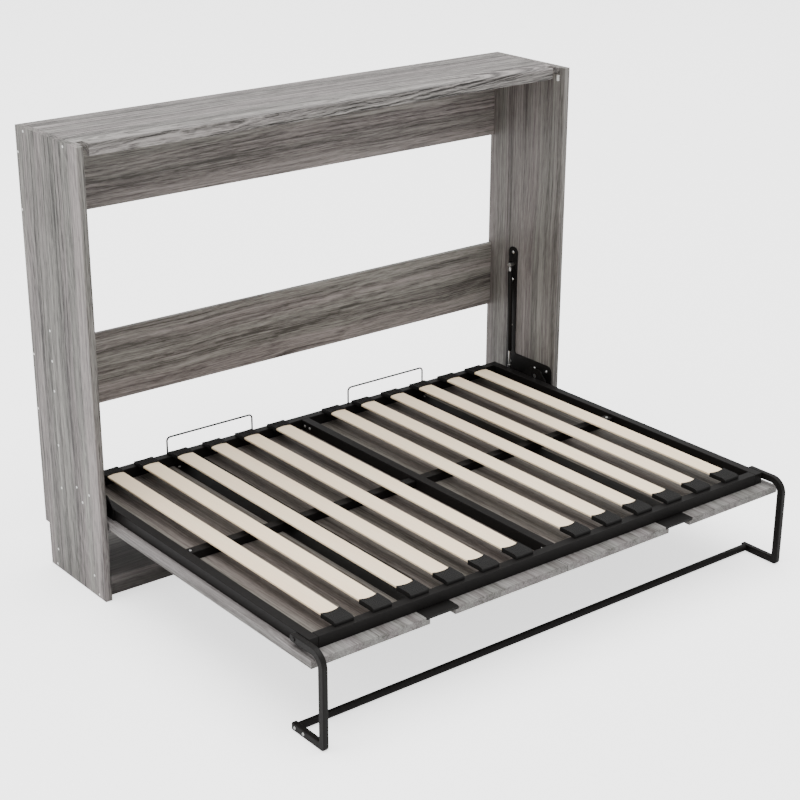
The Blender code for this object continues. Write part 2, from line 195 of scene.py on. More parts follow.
def board_grain_group():
    """Printed wood grain along the vector's Z, with growth rings round `Heart`."""
    group, given, out = new_group(
        "Board grain",
        [
            ("Vector", "NodeSocketVector", None),
            ("Heart", "NodeSocketVector", None),
            ("Light", "NodeSocketColor", (0.4, 0.4, 0.4, 1)),
            ("Dark", "NodeSocketColor", (0.1, 0.1, 0.1, 1)),
            ("Warm", "NodeSocketColor", (1.0, 0.9, 0.9, 1)),
            ("Cool", "NodeSocketColor", (0.9, 0.9, 0.85, 1)),
            ("Rings", "NodeSocketFloat", 0.35),
            ("Tint", "NodeSocketFloat", 0.5),
        ],
    )
    n = Nodes(group)
    vector = given.outputs["Vector"]

    def streaks(across, along, detail, roughness):
        scaled = n.vector("MULTIPLY", warped, (across, across, along))
        return n.noise(scaled, 1.0, detail, roughness)

    def part(value, weight):
        return n.math("MULTIPLY", n.math("SUBTRACT", value, 0.5), weight)

    slow = n.vector("MULTIPLY", vector, (2.5, 2.5, 1.6))
    bend = n.add("ShaderNodeTexNoise", {"Vector": slow, "Scale": 1.0, "Detail": 2.0})
    bend = bend.outputs["Color"]
    bend = n.vector("MULTIPLY", n.vector("SUBTRACT", bend, (0.5, 0.5, 0.5)), (0.035, 0.035, 0.0))
    warped = n.vector("ADD", vector, bend)
    fibre = streaks(230.0, 3.2, 5.0, 0.72)
    dash = streaks(270.0, 26.0, 3.0, 0.6)
    line = streaks(84.0, 0.8, 4.0, 0.6)
    bands = streaks(17.0, 0.35, 3.0, 0.5)
    hue = streaks(15.0, 0.45, 2.0, 0.5)
    pores = n.ramp(streaks(430.0, 13.0, 2.0, 0.5), 0.58, 0.74)
    # Partly painted sheen: fine lighter streaks along the grain, partly fibre flecks, mixed a
    # little towards the light colour.
    fleck_and_sheen = n.ramp(streaks(300.0, 5.0, 3.0, 0.6), 0.58, 0.76)
    place = n.vector("SUBTRACT", warped, given.outputs["Heart"])
    axes = n.add("ShaderNodeSeparateXYZ", {0: place}).outputs
    lean = n.math("ADD", axes[0], n.math("MULTIPLY", axes[2], 0.09))
    flat = n.add("ShaderNodeCombineXYZ", {0: lean, 1: axes[1]}).outputs[0]
    reach = n.add("ShaderNodeVectorMath", {0: flat}, operation="LENGTH").outputs["Value"]
    wobble = part(n.noise(n.vector("MULTIPLY", vector, (60.0, 60.0, 22.0)), 1.0, 3.0), 0.010)
    ring = n.add(
        "ShaderNodeTexNoise",
        {"W": n.math("ADD", reach, wobble), "Scale": 150.0, "Detail": 2.0, "Roughness": 0.6},
        noise_dimensions="1D",
    ).outputs["Fac"]
    tone = n.math("ADD", part(fibre, 1.35), part(line, 0.9))
    tone = n.math("ADD", tone, n.math("ADD", part(bands, 0.85), part(dash, 0.55)))
    tone = n.math("ADD", tone, part(ring, given.outputs["Rings"]))
    spread = {"Value": tone, "From Min": -0.30, "From Max": 0.30}
    tone = n.add("ShaderNodeMapRange", spread).outputs[0]
    colour = n.mix(tone, given.outputs["Dark"], given.outputs["Light"])
    tinted = n.mix(n.ramp(hue, 0.36, 0.64), given.outputs["Cool"], given.outputs["Warm"])
    colour = n.mix(given.outputs["Tint"], colour, tinted, "MULTIPLY")
    colour = n.mix(n.math("MULTIPLY", fleck_and_sheen, 0.22), colour, given.outputs["Light"])
    colour = n.mix(n.math("MULTIPLY", pores, 0.42), colour, given.outputs["Dark"])
    group.links.new(colour, out.inputs["Color"])
    height = n.math("SUBTRACT", n.math("MULTIPLY", fibre, 0.5), n.math("MULTIPLY", pores, 0.6))
    group.links.new(height, out.inputs["Height"])
    rough = n.math("ADD", n.math("MULTIPLY", line, 0.18), 0.46)
    group.links.new(rough, out.inputs["Roughness"])
    return group


def coat_group():
    """Powder coat or moulded skin: a fine orange peel, faint scuffs and a little dust."""
    group, given, out = new_group(
        "Coat",
        [
            ("Vector", "NodeSocketVector", None),
            ("Base", "NodeSocketColor", (0.02, 0.02, 0.02, 1)),
            ("Scuff", "NodeSocketColor", (0.08, 0.075, 0.07, 1)),
            ("Gloss", "NodeSocketFloat", 0.4),
            ("Peel", "NodeSocketFloat", 900.0),
        ],
    )
    n = Nodes(group)
    vector = given.outputs["Vector"]
    peel = n.noise(vector, given.outputs["Peel"], 2.0)
    cloud = n.noise(vector, 14.0, 4.0, 0.6)
    rubbed = n.noise(n.vector("MULTIPLY", vector, (40.0, 12.0, 90.0)), 1.0, 6.0, 0.7)
    scuff = n.ramp(rubbed, 0.60, 0.80)
    colour = n.mix(n.math("MULTIPLY", scuff, 0.30), given.outputs["Base"], given.outputs["Scuff"])
    colour = n.mix(n.math("MULTIPLY", cloud, 0.10), colour, given.outputs["Scuff"])
    group.links.new(colour, out.inputs["Color"])
    group.links.new(peel, out.inputs["Height"])
    rough = n.math("ADD", given.outputs["Gloss"], n.math("MULTIPLY", cloud, 0.16))
    group.links.new(rough, out.inputs["Roughness"])
    return group


# ---------------------------------------------------------------- materials


ALONG = {"Z": (0.0, 0.0, 0.0), "X": (0.0, -math.pi / 2, 0.0), "Y": (math.pi / 2, 0.0, 0.0)}
GROUPS = {}
MATERIALS = {}


def group(name):
    if name not in GROUPS:
        GROUPS[name] = {"grain": board_grain_group, "coat": coat_group}[name]()
    return GROUPS[name]


def blank_material(name, metallic, specular=0.5):
    made = bpy.data.materials.new(name)
    made.use_nodes = True
    shader = made.node_tree.nodes["Principled BSDF"]
    shader.inputs["Metallic"].default_value = metallic
    shader.inputs["Specular IOR Level"].default_value = specular
    return made, shader, Nodes(made.node_tree)


def finish_material(made, shader, n, effect, depth):
    made.node_tree.links.new(effect.outputs["Color"], shader.inputs["Base Color"])
    made.node_tree.links.new(effect.outputs["Roughness"], shader.inputs["Roughness"])
    height = effect.outputs["Height"]
    bump = n.add("ShaderNodeBump", {"Height": height, "Strength": 0.6, "Distance": depth})
    made.node_tree.links.new(bump.outputs[0], shader.inputs["Normal"])
    return made


def grain_material(name, along, colours, rings, tint, shift, depth, heart=None):
    """Wood grain along one axis. `shift` moves the print, so that like boards differ.

    `colours` are the light and dark lines and the warm and cool bands.
    """
    if name in MATERIALS:
        return MATERIALS[name]
    made, shader, n = blank_material(name, 0.0, 0.25)
    place = n.add("ShaderNodeTexCoord").outputs["Object"]
    turned = n.add(
        "ShaderNodeMapping",
        {"Vector": place, "Location": (shift, shift * 0.7, shift * 1.9), "Rotation": ALONG[along]},
    ).outputs[0]
    effect = n.add("ShaderNodeGroup", node_tree=group("grain"))
    made.node_tree.links.new(turned, effect.inputs["Vector"])
    for label, value in zip(("Light", "Dark", "Warm", "Cool"), colours):
        effect.inputs[label].default_value = (*value, 1.0)
    effect.inputs["Heart"].default_value = heart or (0.35 + shift, 0.2, 0.0)
    effect.inputs["Rings"].default_value = rings
    effect.inputs["Tint"].default_value = tint
    MATERIALS[name] = finish_material(made, shader, n, effect, depth)
    return made


def coat_material(
    name, base, scuff, gloss, metallic=0.0, peel=900.0, depth=0.00008, specular=0.5
):
    """Black coat, plastic or plated metal, with faint scuffs."""
    if name in MATERIALS:
        return MATERIALS[name]
    made, shader, n = blank_material(name, metallic, specular)
    effect = n.add("ShaderNodeGroup", node_tree=group("coat"))
    made.node_tree.links.new(n.add("ShaderNodeTexCoord").outputs["Object"], effect.inputs["Vector"])
    effect.inputs["Base"].default_value = (*base, 1.0)
    effect.inputs["Scuff"].default_value = (*scuff, 1.0)
    effect.inputs["Gloss"].default_value = gloss
    effect.inputs["Peel"].default_value = peel
    MATERIALS[name] = finish_material(made, shader, n, effect, depth)
    return made


def board(name, along, shift=0.0, rings=0.3, tint=0.8, light=None, dark=None, heart=None):
    s = bpy.context.scene.wall_bed_boards
    colours = (light or s.light, dark or s.dark, s.warm, s.cool)
    return grain_material(name, along, colours, rings, tint, shift, s.bump, heart)


def hardware():
    return bpy.context.scene.wall_bed_hardware


def black_metal():
    scuff = (0.015, 0.013, 0.012)
    return coat_material("satin_black_metal", hardware().black, scuff, 0.40, specular=0.12)


def plank():
    scuff = (0.0075, 0.0069, 0.0063)
    return coat_material("black_plank", hardware().plank, scuff, 0.42, specular=0.16)


def holder_plastic():
    scuff = (0.019, 0.0175, 0.016)
    return coat_material(
        "black_holder_plastic", hardware().rubber, scuff, 0.5,
        peel=1400.0, depth=0.0003, specular=0.16,
    )


def zinc():
    scuff = (0.36, 0.36, 0.37)
    return coat_material(
        "zinc_plate", hardware().zinc, scuff, 0.22, metallic=1.0, peel=2500.0
    )


def white_cap():
    return coat_material("white_cap", hardware().cap, (0.55, 0.55, 0.54), 0.42, peel=1200.0)


def dress(node, material):
    """Gives a CAD node a better material and leaves its shape alone."""
    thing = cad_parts[node]
    if not thing.material_slots:
        thing.data.materials.append(material)
    for place in thing.material_slots:
        place.material = material


# ---------------------------------------------------------------- meshes


def rounded(corners, steps=12):
    """A closed outline from (a, b, radius) corners, each radius drawn as a fillet."""
    outline = []
    for i, (a, b, radius) in enumerate(corners):
        here = Vector((a, b))
        if not radius:
            outline.append(here)
            continue
        before = (Vector(corners[i - 1][:2]) - here).normalized()
        after = (Vector(corners[(i + 1) % len(corners)][:2]) - here).normalized()
        half = before.angle(after) / 2
        centre = here + (before + after).normalized() * radius / math.sin(half)
        start = here + before * radius / math.tan(half) - centre
        end = here + after * radius / math.tan(half) - centre
        turn = math.pi - 2 * half
        for k in range(steps + 1):
            t = k / steps
            point = (start * math.sin((1 - t) * turn) + end * math.sin(t * turn)) / math.sin(turn)
            outline.append(centre + point)
    return outline


def loft(bm, rings, close_ends=True):
    """Joins equal rings of points into one skin, with its two ends filled."""
    made = [[bm.verts.new(point) for point in ring] for ring in rings]
    for low, high in zip(made, made[1:]):
        for i in range(len(low)):
            j = (i + 1) % len(low)
            bm.faces.new((low[i], low[j], high[j], high[i]))
    if close_ends:
        bm.faces.new(made[0][::-1])
        bm.faces.new(made[-1])
    return made


def turned(bm, profile, place, segments=32):
    """A (radius, height) profile turned about its own Z and put in place by a matrix."""
    rings = []
    for radius, height in profile:
        ring = []
        for k in range(segments):
            angle = 2 * math.pi * k / segments
            around = radius * math.cos(angle), radius * math.sin(angle)
            ring.append(place @ Vector((*around, height)))
        rings.append(ring)
    loft(bm, rings)


def to_piece(name, bm, body, materials, replaced=(), angle=35.0, bevel=0.0):
    """Finishes a mesh as a named piece that rides on a CAD body."""
    bmesh.ops.recalc_face_normals(bm, faces=bm.faces)
    mesh = bpy.data.meshes.new(name)
    bm.to_mesh(mesh)
    bm.free()
    return piece_from_mesh(name, mesh, body, materials, replaced, angle, bevel)


def piece_from_mesh(name, mesh, body, materials, replaced=(), angle=35.0, bevel=0.0):
    for material in materials:
        if material.name not in mesh.materials:
            mesh.materials.append(material)
    mesh.polygons.foreach_set("use_smooth", [True] * len(mesh.polygons))
    mesh.set_sharp_from_angle(angle=math.radians(angle))
    thing = bpy.data.objects.new(name, mesh)
    bpy.context.scene.collection.objects.link(thing)
    if bevel:
        edge = thing.modifiers.new("edges", "BEVEL")
        edge.width = bevel
        edge.segments = 3
        edge.limit_method = "ANGLE"
        edge.angle_limit = math.radians(40)
        edge.harden_normals = True
    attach(thing, body)
    if replaced:
        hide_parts(*replaced)
    return thing


# ---------------------------------------------------------------- geometry node trees


def new_tree(name, inputs):
    tree = bpy.data.node_groups.new(name, "GeometryNodeTree")
    tree.interface.new_socket(name="Geometry", in_out="INPUT", socket_type="NodeSocketGeometry")
    sockets = {}
    for label, kind, default in inputs:
        socket = tree.interface.new_socket(name=label, in_out="INPUT", socket_type=kind)
        if default is not None:
            socket.default_value = default
        sockets[label] = socket.identifier
    tree.interface.new_socket(name="Geometry", in_out="OUTPUT", socket_type="NodeSocketGeometry")
    return tree, tree.nodes.new("NodeGroupInput"), tree.nodes.new("NodeGroupOutput"), sockets


def end_tree(tree, geometry, given, out):
    n = Nodes(tree)
    real = n.add("GeometryNodeRealizeInstances", {"Geometry": geometry}).outputs[0]
    material = given.outputs["Material"]
    done = n.add("GeometryNodeSetMaterial", {"Geometry": real, "Material": material})
    tree.links.new(done.outputs[0], out.inputs[0])


def screw_tree():
    """A low button head with a socket at every point, facing along the point's `facing`."""
    tree, given, out, sockets = new_tree(
        "Screw heads",
        [
            ("Radius", "NodeSocketFloat", 0.005),
            ("Height", "NodeSocketFloat", 0.0025),
            ("Material", "NodeSocketMaterial", None),
        ],
    )
    n = Nodes(tree)
    radius, height = given.outputs["Radius"], given.outputs["Height"]
    head = n.add("GeometryNodeMeshCone", {
        "Vertices": 20, "Side Segments": 1, "Radius Bottom": radius,
        "Radius Top": n.math("MULTIPLY", radius, 0.68), "Depth": height,
    })
    crown = n.add("GeometryNodeExtrudeMesh", {
        "Mesh": head.outputs["Mesh"], "Selection": head.outputs["Top"], "Offset Scale": 0.0,
    }, mode="FACES")
    rim = crown.outputs["Top"]
    inner = n.add("GeometryNodeScaleElements", {
        "Geometry": crown.outputs["Mesh"], "Selection": rim, "Scale": 0.56,
    }, domain="FACE")
    socket = n.add("GeometryNodeExtrudeMesh", {
        "Mesh": inner.outputs[0], "Selection": rim,
        "Offset Scale": n.math("MULTIPLY", height, -0.7),
    }, mode="FACES")
    facing = n.add(
        "GeometryNodeInputNamedAttribute", {"Name": "facing"}, data_type="FLOAT_VECTOR"
    ).outputs["Attribute"]
    turn = n.add("FunctionNodeAlignRotationToVector", {"Vector": facing}, axis="Z")
    points = n.add("GeometryNodeInstanceOnPoints", {
        "Points": given.outputs["Geometry"], "Instance": socket.outputs[0],
        "Rotation": turn.outputs[0],
    })
    end_tree(tree, points.outputs[0], given, out)
    return tree, sockets


def spread_tree():
    """Copies one drawn shape, given as an object, to every point."""
    tree, given, out, sockets = new_tree(
        "Repeat along rail",
        [("Shape", "NodeSocketObject", None), ("Material", "NodeSocketMaterial", None)],
    )
    n = Nodes(tree)
    shape = n.add("GeometryNodeObjectInfo", {"Object": given.outputs["Shape"]})
    points = n.add("GeometryNodeInstanceOnPoints", {
        "Points": given.outputs["Geometry"], "Instance": shape.outputs["Geometry"],
    })
    end_tree(tree, points.outputs[0], given, out)
    return tree, sockets


def slat_tree():
    """Bowed slats: a rounded section run along an arc at each point, with a tone of its own."""
    tree, given, out, sockets = new_tree(
        "Bowed slats",
        [
            ("Length", "NodeSocketFloat", 1.38),
            ("Width", "NodeSocketFloat", 0.064),
            ("Thickness", "NodeSocketFloat", 0.008),
            ("Rise", "NodeSocketFloat", 0.004),
            ("Seed", "NodeSocketInt", 7),
            ("Material", "NodeSocketMaterial", None),
        ],
    )
    n = Nodes(tree)
    width, thick = given.outputs["Width"], given.outputs["Thickness"]
    line = n.add("GeometryNodeCurvePrimitiveLine", mode="POINTS")
    end = n.add("ShaderNodeCombineXYZ", {"Y": given.outputs["Length"]})
    tree.links.new(end.outputs[0], line.inputs["End"])
    fine = n.add("GeometryNodeResampleCurve", {"Curve": line.outputs[0], "Count": 25})
    along = n.add("GeometryNodeSplineParameter").outputs["Factor"]
    arch = n.math("SINE", n.math("MULTIPLY", along, math.pi))
    bow = n.math("MULTIPLY", arch, given.outputs["Rise"])
    lift = n.add("ShaderNodeCombineXYZ", {"Z": bow})
    arc = n.add("GeometryNodeSetPosition", {"Geometry": fine.outputs[0], "Offset": lift.outputs[0]})
    flat = n.add(
        "GeometryNodeCurvePrimitiveQuadrilateral", {"Width": width, "Height": thick},
        mode="RECTANGLE",
    )
    section = n.add("GeometryNodeFilletCurve", {
        "Curve": flat.outputs[0], "Count": 4, "Radius": n.math("MULTIPLY", thick, 0.30),
    }, mode="POLY")
    solid = n.add("GeometryNodeCurveToMesh", {
        "Curve": arc.outputs[0], "Profile Curve": section.outputs[0], "Fill Caps": True,
    })
    points = n.add("GeometryNodeInstanceOnPoints", {
        "Points": given.outputs["Geometry"], "Instance": solid.outputs[0],
    })
    tone = n.add("FunctionNodeRandomValue", {"Seed": given.outputs["Seed"]}, data_type="FLOAT")
    marked = n.add("GeometryNodeStoreNamedAttribute", {
        "Geometry": points.outputs[0], "Name": "slat_tone", "Value": tone.outputs[1],
    }, data_type="FLOAT", domain="INSTANCE")
    end_tree(tree, marked.outputs[0], given, out)
    return tree, sockets


def baked(tree_and_sockets, points, values, facing=None):
    """Runs a tree on a cloud of points and returns the result as a plain mesh."""
    tree, sockets = tree_and_sockets
    cloud = bpy.data.meshes.new("points")
    cloud.from_pydata([tuple(point) for point in points], [], [])
    if facing:
        store = cloud.attributes.new("facing", "FLOAT_VECTOR", "POINT")
        for item, direction in zip(store.data, facing):
            item.vector = direction
    holder = bpy.data.objects.new("points", cloud)
    bpy.context.scene.collection.objects.link(holder)
    modifier = holder.modifiers.new("nodes", "NODES")
    modifier.node_group = tree
    for label, value in values.items():
        modifier[sockets[label]] = value
    bpy.context.view_layer.update()
    graph = bpy.context.evaluated_depsgraph_get()
    mesh = bpy.data.meshes.new_from_object(holder.evaluated_get(graph))
    holder.modifiers.remove(modifier)
    bpy.data.objects.remove(holder)
    bpy.data.meshes.remove(cloud)
    if not len(mesh.polygons):
        raise RuntimeError(f"{tree.name} made no faces")
    return mesh


TREES = {}


def tree(name):
    if name not in TREES:
        TREES[name] = {"screws": screw_tree, "spread": spread_tree, "slats": slat_tree}[name]()
    return TREES[name]


# ---------------------------------------------------------------- operators


class WallBedOperator(bpy.types.Operator):
    bl_options = {"REGISTER", "UNDO"}

    def execute(self, context):
        self.build(context)
        return {"FINISHED"}


class WALLBED_OT_stage(WallBedOperator):
    """Floor, soft studio lights and camera"""

    bl_idname = "wall_bed.stage"
    bl_label = "Stage"

    def build(self, context):
        s = context.scene.wall_bed_stage
        self.camera(context)
        bm = bmesh.new()
        bmesh.ops.create_grid(bm, x_segments=1, y_segments=1, size=40.0)
        mesh = bpy.data.meshes.new("floor")
        bm.to_mesh(mesh)
        bm.free()
        floor = bpy.data.objects.new("floor", mesh)
        floor.location.z = -0.0005
        context.scene.collection.objects.link(floor)
        mesh.materials.append(self.floor_material(s))
        world = bpy.data.worlds.new("studio")
        world.use_nodes = True
        sky = world.node_tree.nodes["Background"]
        sky.inputs["Color"].default_value = WHITE
        sky.inputs["Strength"].default_value = s.sky
        context.scene.world = world
        self.light("key_light", (-5.5, 0.9, 2.8), (0.0, 0.3, 0.8), 3.0, s.key)
        self.light("top_light", (1.0, 1.0, 20.0), (2.0, 3.0, 0.0), 30.0, s.top)

    def floor_material(self, s):
        """A matt floor that looks brighter than the light it throws back."""
        made, shader, n = blank_material("pale_floor", 0.0, 0.2)
        shader.inputs["Base Color"].default_value = (*s.floor, 1.0)
        shader.inputs["Roughness"].default_value = 0.9
        shader.inputs["Emission Color"].default_value = WHITE
        seen = n.add("ShaderNodeLightPath").outputs["Is Camera Ray"]
        glow = n.math("MULTIPLY", seen, s.glow)
        made.node_tree.links.new(glow, shader.inputs["Emission Strength"])
        return made

    def light(self, name, place, target, size, power):
        data = bpy.data.lights.new(name, "AREA")
        data.shape = "DISK"
        data.size = size
        data.energy = power
        lamp = bpy.data.objects.new(name, data)
        lamp.location = place
        ahead = Vector(target) - Vector(place)
        lamp.rotation_euler = ahead.to_track_quat("-Z", "Y").to_euler()
        bpy.context.scene.collection.objects.link(lamp)

    def camera(self, context):
        data = bpy.data.cameras.new("camera")
        data.lens = 80.11
        data.sensor_width = 36.0
        data.shift_x, data.shift_y = 0.0192, 0.0284
        data.clip_end = 200.0
        eye = bpy.data.objects.new("camera", data)
        azimuth, drop = math.radians(37.79), math.radians(22.23)
        level = math.cos(drop)
        ahead = Vector((math.sin(azimuth) * level, math.cos(azimuth) * level, -math.sin(drop)))
        eye.location = (-3.5326, FRONT - 4.7626, 2.8181)
        eye.rotation_euler = ahead.to_track_quat("-Z", "Y").to_euler()
        context.scene.collection.objects.link(eye)
        context.scene.camera = eye


class WALLBED_OT_cabinet(WallBedOperator):
    """Grain on the boards: upright on the side panels, lengthwise on the rest"""

    bl_idname = "wall_bed.cabinet"
    bl_label = "Cabinet boards"

    def build(self, context):
        s = context.scene.wall_bed_boards
        # Painted light and shade: brighter and darker copies of the one board colour.
        left_panel_painted_light, top_and_rails_painted_light, under_bed_painted_shade = (self.shade(s.light, by) for by in (1.12, 1.28, 0.62))
        strong = self.shade(s.dark, 0.35)
        # Painted light: the left panel's grain is lighter, with stronger dark lines, for the key
        # light on its outer face.
        dress("left_side_panel", board("upright_grain_left", "Z", 0.0, light=left_panel_painted_light, dark=strong))
        dress("right_side_panel", board("upright_grain_right", "Z", 0.83))
        shift = 0.31
        heart = self.heart_of_top(shift)
        # Painted light: the top panel and its front strip get paler grain with stronger dark lines,
        # for the light from above.
        dress("top_panel", board("top_grain", "X", shift, 1.15, 0.45, top_and_rails_painted_light, strong, heart))
        dress("top_front_strip", board("strip_grain", "X", shift, 1.0, 0.45, top_and_rails_painted_light, strong, heart))
        # Painted light: the back rails get paler grain, which lightens the shade on them.
        dress("upper_back_rail", board("upper_rail_grain", "X", 1.37, 0.45, light=top_and_rails_painted_light))
        dress("middle_back_rail", board("middle_rail_grain", "X", 2.11, 0.45, light=top_and_rails_painted_light))
        # Painted shade: the bottom shelf and kick boards get darker grain, for the shade under the
        # bed.
        dress("bottom_shelf", board("shelf_grain", "X", 2.9, light=under_bed_painted_shade))
        for node in ("front_kick_board", "rear_kick_board"):
            dress(node, board("kick_grain", "X", 3.3, light=under_bed_painted_shade))
        for label, _ in SIDES:
            dress(f"{label}_stop_corner", white_cap())

    def shade(self, colour, by):
        return [channel * by for channel in colour]

    def heart_of_top(self, shift):
        """Where the growth rings are centred in the shifted print: low, near the front edge."""
        low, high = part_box("top_panel")
        below_top, behind_edge = 0.0215, 0.05
        return (shift + below_top - high.z, 0.7 * shift + low.y + behind_edge, 0.0)


class WALLBED_OT_face_boards(WallBedOperator):
    """Grain along the face boards, with painted shade on their upper faces within the steel frame,
    and black on the planks that join them
    """

    bl_idname = "wall_bed.face_boards"
    bl_label = "Face boards"

    def build(self, context):
        s = context.scene.wall_bed_boards
        shifts = {"left_outer": 0.2, "left_inner": 1.1, "right_inner": 1.9, "right_outer": 2.7}
        for label, shift in shifts.items():
            grain = board(f"{label}_face_grain", "Y", shift, 0.1, 0.7, s.edge)
            dress(f"{label}_face_board", self.shade_within_frame(grain, s.inner))
        for label, _ in SIDES:
            dress(f"{label}_joining_plank", plank())

    def shade_within_frame(self, material, tint):
        """Painted shade: the boards' upper faces are made darker and browner within the steel frame
        than outside it, for the shade of the slats and rails.
        """
        links, n = material.node_tree.links, Nodes(material.node_tree)
        shader = material.node_tree.nodes["Principled BSDF"]
        grain = shader.inputs["Base Color"].links[0].from_socket
        low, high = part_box("front_bed_rail")
        place = n.add("ShaderNodeTexCoord").outputs["Object"]
        place = n.add("ShaderNodeSeparateXYZ", {0: place}).outputs
        behind = n.ramp(place[1], low.y, high.y)
        between = n.ramp(n.math("ABSOLUTE", place[0]), high.x + 0.030, high.x)
        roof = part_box("left_inner_face_board")[1].z
        above = n.ramp(place[2], roof - 0.002, roof - 0.001)
        # Painted shade mask: behind the front rail, between the side rails, on the boards' upper
        # faces.
        within = n.math("MULTIPLY", n.math("MULTIPLY", behind, between), above)
        shade = n.mix(within, WHITE, (*tint, 1.0))
        links.new(n.mix(1.0, grain, shade, "MULTIPLY"), shader.inputs["Base Color"])
        return material


class WALLBED_OT_frame(WallBedOperator):
    """Satin black coat on the steel frame, hinge plates and hoops"""

    bl_idname = "wall_bed.frame"
    bl_label = "Steel frame"

    def build(self, context):
        for node in ("front_bed_rail", "back_bed_rail", "centre_bed_beam"):
            dress(node, black_metal())
        for label, _ in SIDES:
            for part in ("bed_rail", "mid_rail", "hinge_plate", "bed_bracket"):
                dress(f"{label}_{part}", black_metal())
            for part in ("pivot_pin", "strut_top_stud", "strut_foot_stud"):
                dress(f"{label}_{part}", zinc())
            self.hoop(label)

    def hoop(self, label):
        """A smooth round wire in place of the CAD's eight-sided one."""
        low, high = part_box(f"{label}_mattress_wire")
        radius, bend = (high.y - low.y) / 2, 0.014
        y = (low.y + high.y) / 2
        left, right, top = low.x + radius, high.x - radius, high.z - radius
        corners = [(left, low.z, 0), (left, top, bend), (right, top, bend), (right, low.z, 0)]
        path = rounded(corners, 10)
        bm = bmesh.new()
        rings = []
        for i, point in enumerate(path):
            ahead = (path[min(i + 1, len(path) - 1)] - path[max(i - 1, 0)]).normalized()
            across = Vector((-ahead.y, ahead.x))
            ring = []
            for k in range(16):
                angle = 2 * math.pi * k / 16
                out = across * radius * math.cos(angle)
                aside = y + radius * math.sin(angle)
                ring.append(Vector((point.x + out.x, aside, point.y + out.y)))
            rings.append(ring)
        loft(bm, rings)
        to_piece(
            f"{label}_mattress_hoop", bm, "bed", [black_metal()],
            [f"{label}_mattress_wire"],
        )


class WALLBED_OT_foot_frame(WallBedOperator):
    """Bent flat-tube legs and the round bar between them"""

    bl_idname = "wall_bed.foot_frame"
    bl_label = "Foot frame"

    def build(self, context):
        bar = 0.025  # depth of the flat tube
        for label, _ in SIDES:
            low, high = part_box(f"{label}_foot_leg")
            outline = rounded([
                (high.y, low.z, 0.0), (low.y, low.z, 0.015),
                (low.y, high.z, 0.055), (high.y, high.z, 0.010),
                (high.y, high.z - bar, 0.010), (low.y + bar, high.z - bar, 0.030),
                (low.y + bar, low.z + bar, 0.004), (high.y, low.z + bar, 0.0),
            ], 14)
            bm = bmesh.new()
            loft(bm, [[Vector((x, y, z)) for y, z in outline] for x in (low.x, high.x)])
            to_piece(
                f"{label}_bent_leg", bm, "foot_frame", [black_metal()],
                [f"{label}_foot_leg"], angle=30.0, bevel=0.0032,
            )
            dress(f"{label}_foot_pivot_bolt", black_metal())
        low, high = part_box("foot_cross_bar")
        radius = (high.z - low.z) / 2
        place = Matrix.Translation((low + high) / 2) @ Matrix.Rotation(math.pi / 2, 4, "Y")
        half = (high.x - low.x) / 2
        bm = bmesh.new()
        turned(bm, [(radius, -half), (radius, half)], place, 40)
        to_piece(
            "foot_bar", bm, "foot_frame", [black_metal()], ["foot_cross_bar"]
        )


class WALLBED_OT_slats(WallBedOperator):
    """Twelve bowed birch slats"""

    bl_idname = "wall_bed.slats"
    bl_label = "Slats"

    def build(self, context):
        s = context.scene.wall_bed_slats
        names = [f"{label}_slat_{k + 1}" for label, _ in SIDES for k in range(s.count)]
        boxes = [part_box(name) for name in names]
        low, high = boxes[0]
        centres = [
            Vector(((a.x + b.x) / 2, a.y + s.hidden_front, a.z + s.lift + s.thick / 2))
            for a, b in boxes
        ]
        colours = (s.light, s.dark, s.pink, WHITE[:3])
        material = grain_material("birch", "Y", colours, 0.05, 0.6, 0.4, 0.0001)
        self.tone(material)
        mesh = baked(tree("slats"), centres, {
            "Length": high.y - low.y - s.hidden_front - s.hidden_back, "Width": high.x - low.x,
            "Thickness": s.thick, "Rise": s.rise, "Seed": 7, "Material": material,
        })
        piece_from_mesh("birch_slats", mesh, "bed", [material], names, angle=50.0)

    def tone(self, material):
        """Each slat is a little lighter or darker than its neighbours."""
        links, n = material.node_tree.links, Nodes(material.node_tree)
        shader = material.node_tree.nodes["Principled BSDF"]
        grain = shader.inputs["Base Color"].links[0].from_socket
        own = n.add(
            "ShaderNodeAttribute", attribute_name="slat_tone", attribute_type="GEOMETRY"
        ).outputs["Fac"]
        shade = n.mix(own, (0.93, 0.93, 0.95, 1.0), WHITE)
        links.new(n.mix(1.0, grain, shade, "MULTIPLY"), shader.inputs["Base Color"])


